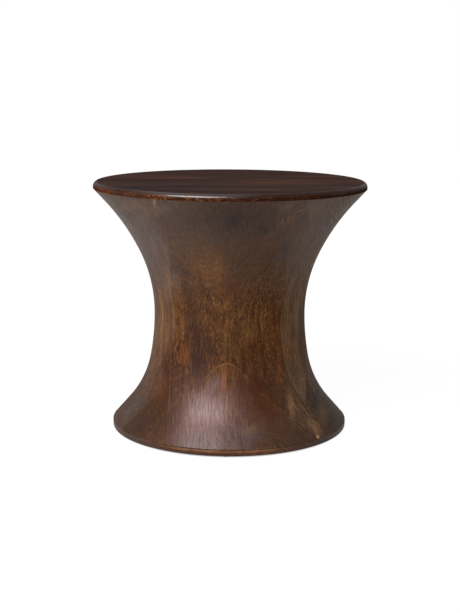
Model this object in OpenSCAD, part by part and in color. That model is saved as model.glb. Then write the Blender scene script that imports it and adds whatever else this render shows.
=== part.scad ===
// Round wooden stool: a spool turned from a block of upright planks glued face to
// face round a hollow heart, with a boarded seat on top and a boarded base below.
// Z = 0 is the floor, the axis of the turning is Z, and the glued faces lie square to Y.

/* [Overall] */
// Height from the floor to the top of the seat
stool_h = 457; // [430:1:480]
// Width across the round seat
seat_d = 496; // [480:2:516]
// Width across the round base
base_d = 433; // [420:1:444]

/* [Turned outline] */
// Width across the waist, the narrowest place
waist_d = 277; // [264:1:284]
// Height of the waist above the floor
waist_z = 216; // [206:1:226]
// Radius of the hollow arc just above the waist
rise_r = 262; // [250:1:280]
// Angle through which that arc turns
rise_angle = 26; // [22:1:28]
// Radius of the longer hollow arc under the seat
rim_flare_r = 390; // [360:5:420]
// Radius of the hollow arc just below the waist
fall_r = 442; // [400:2:480]
// Angle through which that arc turns
fall_angle = 10.4; // [8:0.2:13]
// Radius of the tighter hollow arc above the foot
foot_flare_r = 184; // [178:1:192]
// Height of the upright lip at the foot of the block
foot_lip = 1.2; // [0.8:0.1:3]
// Rounding over that lip
foot_round = 3; // [1:0.5:5]

/* [Seat and base boards] */
// Thickness of the seat boards
seat_t = 12; // [10:0.5:20]
// Rounding of the upper edge of the seat
seat_round = 8.5; // [3:0.5:9]
// Width of the front and the back seat board, at the middle of the rim
seat_edge_board_w = 62; // [50:1:80]
// Thickness of the base boards
base_t = 12; // [10:0.5:18]
// Rounding of the lower edge of the base
base_round = 4; // [1:0.5:6]
// Rounding of the upper edge of the base, where it meets the block
base_top_round = 2; // [1:0.5:4]
// Width of the front and the back base board, at the middle of the rim
base_edge_board_w = 144.5; // [130:0.5:160]

/* [Planks] */
// Depth of the outermost block under the rim; the other layers share what is left evenly
rim_block_t = 22.5; // [16:0.5:30]
// Share of the foot outside layer 3 that is the outermost foot block
foot_block_share = 0.43; // [0.35:0.01:0.5]
// Width of the hollow heart, left between the planks of the three middle layers
heart_w = 123; // [80:1:140]
// Width of the left planks in layers 2 and 4, in from the rim
left_plank_w = 190; // [170:1:200]
// Width of the right planks in layers 2 and 4, in from the rim
right_plank_w = 108; // [96:1:116]
// Width of the planks at both sides of layer 3, in from the rim
wing_plank_w = 145.5; // [136:0.5:148]
// Width of the left block in layer 5, in from the rim
short_left_w = 130; // [124:1:150]
// Width of the right block in layer 5, in from the rim
short_right_w = 164; // [130:1:180]

/* [Dowels, screws and pads] */
// Distance from the rim of the seat to the dowels at its left and right
dowel_inset = 84; // [70:1:100]
// Distance from the rim of the base to the screws at its left and right
screw_inset = 52.5; // [48:0.5:70]
// Distance of the other dowels and screws to each side of the middle
fixing_x = 80; // [60:1:90]
// Diameter of the dowels between block and seat
dowel_d = 8; // [6:0.5:10]
// Depth of each dowel in the seat boards
dowel_in_seat = 7; // [5:0.5:7]
// Depth of each dowel in the block
dowel_in_block = 21; // [15:1:30]
// Play round each dowel
dowel_gap = 0.1; // [0.05:0.05:0.2]
// Diameter of the screws that hold the base
screw_d = 4.5; // [4:0.5:5]
// Diameter of the screw heads
screw_head_d = 9; // [8:0.5:10]
// Length of the screws
screw_l = 35; // [30:1:40]
// Depth of each screw head below the face of the base
screw_sink = 0.5; // [0.2:0.1:1]
// Play round each screw
screw_gap = 0.1; // [0.05:0.05:0.2]
// Thickness of the felt floor pads
pad_t = 3; // [2:0.5:4]
// Diameter of the felt floor pads
pad_d = 30; // [20:1:34]
// Distance from the rim of the base to the pads
pad_inset = 10.5; // [6:0.5:16]
// Number of floor pads
pad_count = 6; // [4:1:8]

/* [Hidden] */
arc_step = 3; // degrees between the points of a turned arc
round_fn = 96;
seat_r = seat_d / 2;
base_r = base_d / 2;
waist_r = waist_d / 2;
seat_z = stool_h - seat_t;
block_z = pad_t + base_t;
far = max(seat_r, base_r) + 5;
top_layer_count = 6; // layers in front of the middle one, and behind it
plank_t = (seat_r - rim_block_t) / (top_layer_count - 0.5);
joint_left_x = left_plank_w - seat_r;
joint_right_x = seat_r - right_plank_w;
joint_3_x = seat_r - wing_plank_w;
joint_5_left_x = short_left_w - seat_r;
joint_5_right_x = seat_r - short_right_w;
layer_1_y = plank_t; // middle of that layer
layer_3_y = 3 * plank_t;
waist_joint_y = 3.5 * plank_t; // glued face between layers 3 and 4, just clear of the waist
foot_joint_y = base_r - foot_block_share * (base_r - waist_joint_y); // and between the last two at the foot
over = 1; // how far a hole runs past its piece

// Four places beside the heart in layer 1 and four in layer 3, each at the middle of a plank.
function fixings(side_x) = [
    for (x = [-1, 1], y = [-1, 1], p = [[side_x, layer_1_y], [fixing_x, layer_3_y]]) [x * p.x, y * p.y]
];
dowel_places = fixings(seat_r - dowel_inset);
screw_places = fixings(base_r - screw_inset);

// Names and places of the planks in front of the middle layer: name, layer, left, right, lowest, highest.
// Layers 4 to 6 lie outside the waist, so each of their planks is a top block and a foot block.
side_planks = [
    ["1_left_plank", 1, -far, -heart_w / 2, 0, stool_h],
    ["1_right_plank", 1, heart_w / 2, far, 0, stool_h],
    ["2_left_plank", 2, -far, joint_left_x, 0, stool_h],
    ["2_centre_plank", 2, joint_left_x, joint_right_x, 0, stool_h],
    ["2_top_right_block", 2, joint_right_x, far, waist_z, stool_h],
    ["2_foot_right_block", 2, joint_right_x, far, 0, waist_z],
    ["3_centre_plank", 3, -joint_3_x, joint_3_x, 0, stool_h],
    ["3_top_left_block", 3, -far, -joint_3_x, waist_z, stool_h],
    ["3_top_right_block", 3, joint_3_x, far, waist_z, stool_h],
    ["3_foot_left_block", 3, -far, -joint_3_x, 0, waist_z],
    ["3_foot_right_block", 3, joint_3_x, far, 0, waist_z],
    ["4_top_left_block", 4, -far, joint_left_x, waist_z, stool_h],
    ["4_top_centre_block", 4, joint_left_x, joint_right_x, waist_z, stool_h],
    ["4_top_right_block", 4, joint_right_x, far, waist_z, stool_h],
    ["4_foot_left_block", 4, -far, joint_left_x, 0, waist_z],
    ["4_foot_right_block", 4, joint_left_x, far, 0, waist_z],
    ["5_top_left_block", 5, -far, joint_5_left_x, waist_z, stool_h],
    ["5_top_centre_block", 5, joint_5_left_x, joint_5_right_x, waist_z, stool_h],
    ["5_top_right_block", 5, joint_5_right_x, far, waist_z, stool_h],
    ["5_foot_block", 5, -far, far, 0, waist_z],
    ["6_top_block", 6, -far, far, waist_z, stool_h]
];

// Boards from front to back: name and its two long edges. Three seat boards have the same width.
seat_edge_y = seat_r - seat_edge_board_w;
seat_boards = [
    ["seat_front_board", -far, -seat_edge_y],
    ["seat_front_middle_board", -seat_edge_y, -seat_edge_y / 3],
    ["seat_centre_board", -seat_edge_y / 3, seat_edge_y / 3],
    ["seat_back_middle_board", seat_edge_y / 3, seat_edge_y],
    ["seat_back_board", seat_edge_y, far]
];
base_edge_y = base_r - base_edge_board_w;
base_boards = [
    ["base_front_board", -far, -base_edge_y],
    ["base_centre_board", -base_edge_y, base_edge_y],
    ["base_back_board", base_edge_y, far]
];

// Points along an arc whose centre c lies outside the wood. Angles are measured at c from the
// line to the axis, and way is 1 for an arc that climbs and -1 for one that falls.
function hollow_arc(c, r, from, to, way) =
    let (n = ceil(abs(to - from) / arc_step))
    [for (i = [0:n]) let (a = from + (to - from) * i / n) [c.x - r * cos(a), c.y + way * r * sin(a)]];

// Points along a rounding whose centre c lies inside the wood, from level upwards.
function round_arc(c, r, from, to) =
    let (n = ceil(abs(to - from) / arc_step / 3))
    [for (i = [0:n]) let (a = from + (to - from) * i / n) c + r * [cos(a), sin(a)]];

// Angle at which a straight line to the point p leaves the arc of radius r about c.
function leaving_angle(c, r, p) = atan2(abs(p.y - c.y), c.x - p.x) - acos(r / norm(p - c));

// Centre of the second arc, which carries on from the first without a break.
function second_centre(r1, turn, r2, way) =
    [waist_r + r1 - (r1 - r2) * cos(turn), waist_z + way * (r1 - r2) * sin(turn)];

// An arc without its first point, where the arc before it ends.
function after_first(points) = [for (i = [1:len(points) - 1]) points[i]];

function block_outline() =
    let (
        rim = [seat_r, seat_z],
        corner = [base_r, block_z + foot_lip],
        rise_c = [waist_r + rise_r, waist_z],
        fall_c = [waist_r + fall_r, waist_z],
        rim_c = second_centre(rise_r, rise_angle, rim_flare_r, 1),
        foot_c = second_centre(fall_r, fall_angle, foot_flare_r, -1),
        rim_turn = leaving_angle(rim_c, rim_flare_r, rim),
        foot_turn = leaving_angle(foot_c, foot_flare_r, corner),
        lip_r = min(foot_round, foot_lip / tan(foot_turn / 2)),
        lip_c = corner - [lip_r, lip_r * tan(foot_turn / 2)]
    )
    concat(
        [[0, block_z], [base_r, block_z]],
        round_arc(lip_c, lip_r, 0, foot_turn),
        hollow_arc(foot_c, foot_flare_r, foot_turn, fall_angle, -1),
        after_first(hollow_arc(fall_c, fall_r, fall_angle, 0, -1)),
        after_first(hollow_arc(rise_c, rise_r, 0, rise_angle, 1)),
        after_first(hollow_arc(rim_c, rim_flare_r, rise_angle, rim_turn, 1)),
        [rim, [0, seat_z]]
    );

// The whole block as it leaves the lathe, before it is told apart into planks.
module turned_block() {
    rotate_extrude($fn = round_fn) polygon(block_outline());
}

// A slab of a layer, cut to its place. The outermost slab runs on past the turned surface.
module layer_slab(layer, left, right, low, high) {
    is_foot = high == waist_z;
    near = is_foot && layer == 5 ? foot_joint_y : (layer - 0.5) * plank_t;
    away = layer == top_layer_count || is_foot && layer == 5 ? far
        : is_foot && layer == 4 ? foot_joint_y
        : near + plank_t;
    translate([left, -away, low]) cube([right - left, away - near, high - low]);
}

module dowel(gap, spare) {
    height = dowel_in_block + dowel_in_seat + 2 * spare;
    translate([0, 0, seat_z - dowel_in_block - spare]) cylinder(r = dowel_d / 2 + gap, h = height, $fn = round_fn);
}

module screw(gap, spare) {
    head_r = screw_head_d / 2 + gap;
    shank_r = screw_d / 2 + gap;
    tip_l = screw_d;
    translate([0, 0, pad_t + screw_sink]) rotate_extrude($fn = round_fn) polygon([
        [0, -spare], [head_r, -spare], [head_r, 0], [shank_r, head_r - shank_r],
        [shank_r, screw_l - tip_l], [0, screw_l + spare / 2]
    ]);
}

module dowel_holes() {
    for (p = dowel_places) translate(p) dowel(dowel_gap, over);
}

module screw_holes() {
    for (p = screw_places) translate(p) screw(screw_gap, over);
}

// One plank or block in front of the middle layer. Only layers 1 and 3 take dowels and screws.
module side_plank(p) {
    layer = p[1];
    color(layer % 2 == 0 ? "saddlebrown" : "sienna") difference() {
        intersection() {
            turned_block();
            layer_slab(layer, p[2], p[3], p[4], p[5]);
        }
        if (layer == 1 || layer == 3) dowel_holes();
        if (layer == 1 || layer == 3) screw_holes();
    }
}

// A plank of the middle layer, at one side of the hollow heart.
module middle_plank(left, right) {
    color("peru") intersection() {
        turned_block();
        translate([left, -plank_t / 2, 0]) cube([right - left, plank_t, stool_h]);
    }
}

module middle_left_plank() {
    middle_plank(-far, -heart_w / 2);
}

module middle_right_plank() {
    middle_plank(heart_w / 2, far);
}

module seat_disc() {
    edge_c = [seat_r - seat_round, stool_h - seat_round];
    rotate_extrude($fn = round_fn) polygon(concat(
        [[0, seat_z], [seat_r, seat_z]], round_arc(edge_c, seat_round, 0, 90), [[0, stool_h]]
    ));
}

module seat_board(b) {
    color("#4a3028") difference() {
        intersection() {
            seat_disc();
            translate([-far, b[1], 0]) cube([2 * far, b[2] - b[1], stool_h + over]);
        }
        dowel_holes();
    }
}

module base_disc() {
    low_c = [base_r - base_round, pad_t + base_round];
    high_c = [base_r - base_top_round, block_z - base_top_round];
    rotate_extrude($fn = round_fn) polygon(concat(
        [[0, pad_t]], round_arc(low_c, base_round, -90, 0), round_arc(high_c, base_top_round, 0, 90), [[0, block_z]]
    ));
}

module base_board(b) {
    color("#6b4226") difference() {
        intersection() {
            base_disc();
            translate([-far, b[1], 0]) cube([2 * far, b[2] - b[1], block_z + over]);
        }
        screw_holes();
    }
}

// The dowels stand in blind holes, half in the block and half in the seat.
module seat_dowels() {
    color("burlywood") for (p = dowel_places) translate(p) dowel(0, 0);
}

module base_screws() {
    color("silver") for (p = screw_places) translate(p) screw(0, 0);
}

module floor_pads() {
    pad_ring = base_r - pad_inset - pad_d / 2;
    color("dimgray") for (i = [0:pad_count - 1]) rotate(-90 + 360 * i / pad_count)
        translate([pad_ring, 0, 0]) cylinder(d = pad_d, h = pad_t, $fn = round_fn);
}

middle_left_plank();
middle_right_plank();
for (p = side_planks) {
    side_plank(p);
    rotate(180) side_plank(p);
}
for (b = seat_boards) seat_board(b);
for (b = base_boards) base_board(b);
seat_dowels();
base_screws();
floor_pads();
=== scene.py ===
import math
import random

import bpy
import numpy as np
from mathutils import Matrix, Vector


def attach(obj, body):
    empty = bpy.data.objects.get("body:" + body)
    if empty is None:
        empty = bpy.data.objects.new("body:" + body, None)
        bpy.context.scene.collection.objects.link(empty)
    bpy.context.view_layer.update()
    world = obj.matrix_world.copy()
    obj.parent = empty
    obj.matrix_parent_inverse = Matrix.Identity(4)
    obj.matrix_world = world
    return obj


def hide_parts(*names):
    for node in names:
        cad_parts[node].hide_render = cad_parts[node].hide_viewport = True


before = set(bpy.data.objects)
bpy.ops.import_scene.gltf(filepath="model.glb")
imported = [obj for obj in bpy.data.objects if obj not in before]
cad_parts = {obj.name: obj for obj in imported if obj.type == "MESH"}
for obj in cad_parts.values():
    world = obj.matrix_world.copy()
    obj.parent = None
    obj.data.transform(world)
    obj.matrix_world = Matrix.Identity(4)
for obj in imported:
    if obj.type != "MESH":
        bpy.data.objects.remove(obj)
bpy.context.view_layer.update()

# The turned block
# Upright planks 41 mm thick are glued face to face round a hollow heart, and the
# block is turned on a lathe to a waist. Each plank keeps its own colour and grain.
mm = 0.001
seat_r = 248 * mm
base_r = 216.5 * mm
waist_r = 138.5 * mm
waist_z = 216 * mm
block_low = 15 * mm
block_high = 445 * mm
foot_lip = 1.2 * mm
foot_round = 3 * mm
rise_r, rise_angle, rim_flare_r = 262 * mm, math.radians(26), 390 * mm
fall_r, fall_angle, foot_flare_r = 442 * mm, math.radians(10.4), 184 * mm
arc_step = math.radians(1.2)
rounding_step = math.radians(7)


def arc(centre, radius, start, end, way):
    """Points of a hollow arc whose centre lies outside the wood, as (radius, height)."""
    steps = max(2, math.ceil(abs(end - start) / arc_step))
    angles = [start + (end - start) * i / steps for i in range(steps + 1)]
    return [(centre[0] - radius * math.cos(a), centre[1] + way * radius * math.sin(a)) for a in angles]


def rounding(centre, radius, start, end):
    """Points of a rounding whose centre lies inside the wood."""
    steps = max(3, math.ceil(abs(end - start) / rounding_step))
    angles = [start + (end - start) * i / steps for i in range(steps + 1)]
    return [(centre[0] + radius * math.cos(a), centre[1] + radius * math.sin(a)) for a in angles]


def leaving_angle(centre, radius, point):
    """Angle at which a straight line to the point leaves the hollow arc."""
    away, up = centre[0] - point[0], abs(point[1] - centre[1])
    return math.atan2(up, away) - math.acos(radius / math.hypot(away, up))


def second_centre(first_r, turn, second_r, way):
    """Centre of an arc that carries on smoothly from the one at the waist."""
    across = waist_r + first_r - (first_r - second_r) * math.cos(turn)
    return across, waist_z + way * (first_r - second_r) * math.sin(turn)


def straight(start, end):
    """Points between two corners, so that a long straight stretch shades as evenly as an arc."""
    shares = [i / 6 for i in range(1, 6)]
    return [tuple(a + (b - a) * share for a, b in zip(start, end)) for share in shares]


rim_centre = second_centre(rise_r, rise_angle, rim_flare_r, 1)
foot_centre = second_centre(fall_r, fall_angle, foot_flare_r, -1)
rim_turn = leaving_angle(rim_centre, rim_flare_r, (seat_r, block_high))
foot_turn = leaving_angle(foot_centre, foot_flare_r, (base_r, block_low + foot_lip))
lip_r = min(foot_round, foot_lip / math.tan(foot_turn / 2))
lip_centre = (base_r - lip_r, block_low + foot_lip - lip_r * math.tan(foot_turn / 2))
lip_arc = rounding(lip_centre, lip_r, 0, foot_turn)
foot_arc = arc(foot_centre, foot_flare_r, foot_turn, fall_angle, -1)
fall_arc = arc((waist_r + fall_r, waist_z), fall_r, fall_angle, 0, -1)
rise_arc = arc((waist_r + rise_r, waist_z), rise_r, 0, rise_angle, 1)
rim_arc = arc(rim_centre, rim_flare_r, rise_angle, rim_turn, 1)
block_outline = (
    [(0, block_low), (base_r, block_low)]
    + lip_arc
    + straight(lip_arc[-1], foot_arc[0])
    + foot_arc
    + fall_arc[1:]
    + rise_arc[1:]
    + rim_arc[1:]
    + straight(rim_arc[-1], (seat_r, block_high))
    + [(seat_r, block_high), (0, block_high)]
)


def stood(name, data):
    """A new object of the scene with its data."""
    piece = bpy.data.objects.new(name, data)
    bpy.context.scene.collection.objects.link(piece)
    return piece


def mesh_of(name, points, faces=()):
    mesh = bpy.data.meshes.new(name)
    mesh.from_pydata(points, [], faces)
    return mesh


def node(tree, kind, inputs=None, **settings):
    """Adds a node, sets it and fills its sockets with values or with other nodes' sockets."""
    made = tree.nodes.new(kind)
    for name, value in settings.items():
        setattr(made, name, value)
    for name, value in (inputs or {}).items():
        if isinstance(value, bpy.types.NodeSocket):
            tree.links.new(value, made.inputs[name])
        else:
            made.inputs[name].default_value = value
    return made


def math_of(tree, operation, first, second=0.0):
    return node(tree, "ShaderNodeMath", {0: first, 1: second}, operation=operation).outputs[0]


def times(tree, first, second):
    return math_of(tree, "MULTIPLY", first, second)


def plus(tree, first, second):
    return math_of(tree, "ADD", first, second)


def less(tree, first, second):
    return math_of(tree, "SUBTRACT", first, second)


def vector_of(tree, operation, first, second=(0, 0, 0)):
    """A sum with vectors. SCALE takes a number, and LENGTH, DISTANCE and DOT_PRODUCT give one."""
    inputs = {0: first, "Scale" if operation == "SCALE" else 1: second}
    made = node(tree, "ShaderNodeVectorMath", inputs, operation=operation)
    return made.outputs["Value" if operation in ("LENGTH", "DISTANCE", "DOT_PRODUCT") else "Vector"]


def new_tree(name, sockets, result):
    """A Geometry Nodes tree with named inputs, and the sockets that they come in by."""
    tree = bpy.data.node_groups.new(name, "GeometryNodeTree")
    for label, kind in sockets:
        tree.interface.new_socket(name=label, in_out="INPUT", socket_type="NodeSocket" + kind)
    tree.interface.new_socket(name=result, in_out="OUTPUT", socket_type="NodeSocketGeometry")
    return tree, node(tree, "NodeGroupInput").outputs


def sheet_round(tree, given):
    """A flat sheet, the outline's point for each of its corners, and each corner's share of the turn."""
    outline, steps = given["Outline"], given["Steps Round"]
    count = node(tree, "GeometryNodeAttributeDomainSize", {"Geometry": outline}).outputs["Point Count"]
    columns = node(tree, "FunctionNodeIntegerMath", {0: steps, 1: 1}, operation="ADD").outputs[0]
    sheet = node(tree, "GeometryNodeMeshGrid", {"Vertices X": count, "Vertices Y": columns}).outputs["Mesh"]
    index = node(tree, "GeometryNodeInputIndex").outputs[0]
    row = node(tree, "FunctionNodeIntegerMath", {0: index, 1: columns}, operation="DIVIDE_FLOOR").outputs[0]
    column = node(tree, "FunctionNodeIntegerMath", {0: index, 1: columns}, operation="MODULO").outputs[0]
    place = node(tree, "GeometryNodeInputPosition").outputs[0]
    at_row = {"Geometry": outline, "Value": place, "Index": row}
    point = node(tree, "GeometryNodeSampleIndex", at_row, data_type="FLOAT_VECTOR").outputs[0]
    return sheet, point, math_of(tree, "DIVIDE", column, steps)


def closed_turning(tree, sheet, point, share):
    """The sheet rolled round the axis and joined along its seam, with its faces outwards."""
    around = {"Vector": point, "Angle": times(tree, share, math.tau)}
    turned = node(tree, "ShaderNodeVectorRotate", around, rotation_type="Z_AXIS").outputs[0]
    swept = node(tree, "GeometryNodeSetPosition", {"Geometry": sheet, "Position": turned}).outputs[0]
    closed = node(tree, "GeometryNodeMergeByDistance", {"Geometry": swept, "Distance": 1e-6}).outputs[0]
    return node(tree, "GeometryNodeFlipFaces", {"Mesh": closed}).outputs[0]


def cut_out(tree, shape, tool):
    """A shape less the shape of a tool object."""
    taken = node(tree, "GeometryNodeObjectInfo", {"Object": tool}).outputs["Geometry"]
    cut = node(tree, "GeometryNodeMeshBoolean", {"Mesh 1": shape}, operation="DIFFERENCE", solver="MANIFOLD")
    tree.links.new(taken, cut.inputs["Mesh 2"])
    return cut.outputs[0]


def finished(tree, shape, finish):
    """Ends a tree with real geometry in its finish."""
    real = node(tree, "GeometryNodeRealizeInstances", {"Geometry": shape}).outputs[0]
    painted = node(tree, "GeometryNodeSetMaterial", {"Geometry": real, "Material": finish}).outputs[0]
    tree.links.new(painted, node(tree, "NodeGroupOutput").inputs[0])
    return tree


def turning_tree():
    """Turns an outline and keeps the part of it between two corners, less the bored holes."""
    sockets = (
        ("Outline", "Geometry"),
        ("Steps Round", "Int"),
        ("Low Corner", "Vector"),
        ("High Corner", "Vector"),
        ("Bored Holes", "Object"),
        ("Wood", "Material"),
    )
    tree, given = new_tree("turned plank", sockets, "Plank")
    closed = closed_turning(tree, *sheet_round(tree, given))
    corners = given["High Corner"], given["Low Corner"]
    spread = vector_of(tree, "SUBTRACT", *corners)
    middle = vector_of(tree, "SCALE", vector_of(tree, "ADD", *corners), 0.5)
    slab = node(tree, "GeometryNodeMeshCube", {"Size": spread}).outputs["Mesh"]
    slab = node(tree, "GeometryNodeTransform", {"Geometry": slab, "Translation": middle}).outputs[0]
    cut = node(tree, "GeometryNodeMeshBoolean", operation="INTERSECT", solver="MANIFOLD")
    tree.links.new(closed, cut.inputs["Mesh 2"])
    tree.links.new(slab, cut.inputs["Mesh 2"])
    marked = cut_out(tree, cut.outputs[0], given["Bored Holes"])
    for name in ("Low Corner", "High Corner"):
        marked = node(
            tree,
            "GeometryNodeStoreNamedAttribute",
            {"Geometry": marked, "Name": name, "Value": given[name]},
            data_type="FLOAT_VECTOR",
            domain="POINT",
        ).outputs[0]
    return finished(tree, marked, given["Wood"])


def evaluated(name, outline, tree, values):
    """The plain mesh that a tree makes from an outline and named values, as a piece of its own."""
    start = stood(name + " start", mesh_of(name, [(r, 0, z) for r, z in outline]))
    modifier = start.modifiers.new("build", "NODES")
    modifier.node_group = tree
    for socket in tree.interface.items_tree:
        if socket.in_out == "INPUT" and socket.name in values:
            modifier[socket.identifier] = values[socket.name]
    graph = bpy.context.evaluated_depsgraph_get()
    mesh = bpy.data.meshes.new_from_object(start.evaluated_get(graph))
    bpy.data.objects.remove(start)
    mesh.name = name
    return stood(name, mesh)


def one_finish(mesh, finish):
    mesh.materials.clear()
    mesh.materials.append(finish)
    mesh.polygons.foreach_set("material_index", [0] * len(mesh.polygons))


def smooth_turning(mesh, outline):
    """Gives the turned faces the true normals of the turning, so that light runs on over the glue lines."""
    tops = [p for p in outline if p[0] > 0]
    heights = np.array([z for r, z in tops])
    radii = np.array([r for r, z in tops])
    along = np.gradient(np.stack([radii, heights], 1), axis=0)
    along_an_axis, farthest = 0.9999, 12 * mm
    normals = []
    for face in mesh.polygons:
        face_flat = max(abs(n) for n in face.normal) > along_an_axis
        for corner in face.vertices:
            spot = mesh.vertices[corner].co
            r = math.hypot(spot.x, spot.y)
            nearest = int(np.argmin((radii - r) ** 2 + (heights - spot.z) ** 2))
            off = math.hypot(radii[nearest] - r, heights[nearest] - spot.z)
            if face_flat or off > farthest:
                normals.append(tuple(face.normal))
                continue
            dr, dz = along[nearest]
            length = math.hypot(dr, dz)
            normals.append((dz / length * spot.x / r, dz / length * spot.y / r, -dr / length))
    mesh.shade_smooth()
    mesh.normals_split_custom_set(normals)


steps_round = 288
bore_steps = 32
plank_tree = turning_tree()


def bored_holes(name, outline, places):
    """One mesh with the same turned hole at every place, to be taken from what it is bored through."""
    points, faces = [], []
    rings = outline[1:-1]
    for x, y in places:
        start = len(points)
        for r, z in rings:
            for i in range(bore_steps):
                a = math.tau * i / bore_steps
                points.append((x + r * math.cos(a), y + r * math.sin(a), z))
        for ring in range(len(rings) - 1):
            low = start + ring * bore_steps
            for i in range(bore_steps):
                j = (i + 1) % bore_steps
                faces.append((low + i, low + j, low + bore_steps + j, low + bore_steps + i))
        faces.append([start + i for i in reversed(range(bore_steps))])
        faces.append([len(points) - bore_steps + i for i in range(bore_steps)])
    return stood(name, mesh_of(name, points, faces))


def joined_mesh(name, meshes):
    points, faces = [], []
    for mesh in meshes:
        start = len(points)
        points += [tuple(v.co) for v in mesh.vertices]
        faces += [[start + i for i in f.vertices] for f in mesh.polygons]
    return mesh_of(name, points, faces)


inner_fixing, outer_fixing = (80 * mm, 123 * mm), (164 * mm, 41 * mm)
fixing_places = [(x * a, y * b) for x in (-1, 1) for y in (-1, 1) for a, b in (outer_fixing, inner_fixing)]
dowel_hole_r = 4.1 * mm
dowel_bore = [(0, 423 * mm), (dowel_hole_r, 423 * mm), (dowel_hole_r, 453 * mm), (0, 453 * mm)]
screw_hole_r, sink_r = 2.35 * mm, 4.6 * mm
screw_bore = [
    (0, 2.5 * mm),
    (sink_r, 2.5 * mm),
    (sink_r, 3.5 * mm),
    (screw_hole_r, 5.75 * mm),
    (screw_hole_r, 34 * mm),
    (0.3 * mm, 39 * mm),
    (0, 39 * mm),
]
dowel_holes = bored_holes("dowel holes", dowel_bore, fixing_places)
screw_holes = bored_holes("screw holes", screw_bore, fixing_places)
block_holes = stood("block holes", joined_mesh("block holes", [dowel_holes.data, screw_holes.data]))


def object_spot(tree):
    return node(tree, "ShaderNodeTexCoord").outputs["Object"]


def grain_space(tree, grain_x):
    """Object coordinates in metres with the grain along Z, also where the board's grain runs along X."""
    spot = object_spot(tree)
    if grain_x:
        spot = node(tree, "ShaderNodeMapping", {"Vector": spot, "Rotation": (0, math.pi / 2, 0)}).outputs[0]
    return spot


def scaled(tree, spot, *scale):
    return node(tree, "ShaderNodeMapping", {"Vector": spot, "Scale": scale}).outputs[0]


def noise(tree, spot, scale, detail=2, rough=0.5, distortion=0.0, result="Fac"):
    values = {"Vector": spot, "Scale": scale, "Detail": detail, "Roughness": rough, "Distortion": distortion}
    return node(tree, "ShaderNodeTexNoise", values).outputs[result]


def stretched(tree, spot, scale, along, detail=3, rough=0.55, distortion=0.0):
    """Noise whose patches are long along the grain."""
    return noise(tree, scaled(tree, spot, 1, 1, along), scale, detail, rough, distortion)


def wandering(tree, spot, slow_spot, scale, amount):
    """A place that strays a little, so that nothing drawn with it has a ruled edge."""
    drift = vector_of(tree, "SUBTRACT", noise(tree, slow_spot, scale, result="Color"), (0.5, 0.5, 0.5))
    return vector_of(tree, "ADD", spot, vector_of(tree, "SCALE", drift, amount))


def fit(tree, value, low, high, to_low=0.0, to_high=1.0):
    """Maps a range of a value to another one, and holds it within it."""
    values = {"Value": value, "From Min": low, "From Max": high, "To Min": to_low, "To Max": to_high}
    return node(tree, "ShaderNodeMapRange", values).outputs[0]


def swing(tree, value, reach=0.2):
    """Noise as a swing from -1 to 1."""
    return fit(tree, value, 0.5 - reach, 0.5 + reach, -1, 1)


def blended(tree, factor, first, second):
    return node(tree, "ShaderNodeMix", {0: factor, 6: first, 7: second}, data_type="RGBA").outputs[2]


def bumped(tree, height, strength, distance):
    """Makes the surface's shading rise with a height."""
    bump = node(tree, "ShaderNodeBump", {"Height": height, "Strength": strength, "Distance": distance})
    tree.links.new(bump.outputs[0], tree.nodes["Principled BSDF"].inputs["Normal"])


def srgb(*card):
    """A colour as it is read off a paint card, from 0 to 255, as the shader wants it."""
    shares = [c / 255 for c in card]
    return tuple(((s + 0.055) / 1.055) ** 2.4 if s > 0.04045 else s / 12.92 for s in shares) + (1,)


def new_finish(name):
    """A material with its tree and its main shader's sockets."""
    finish = bpy.data.materials.new(name)
    finish.use_nodes = True
    return finish, finish.node_tree, finish.node_tree.nodes["Principled BSDF"].inputs


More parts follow.
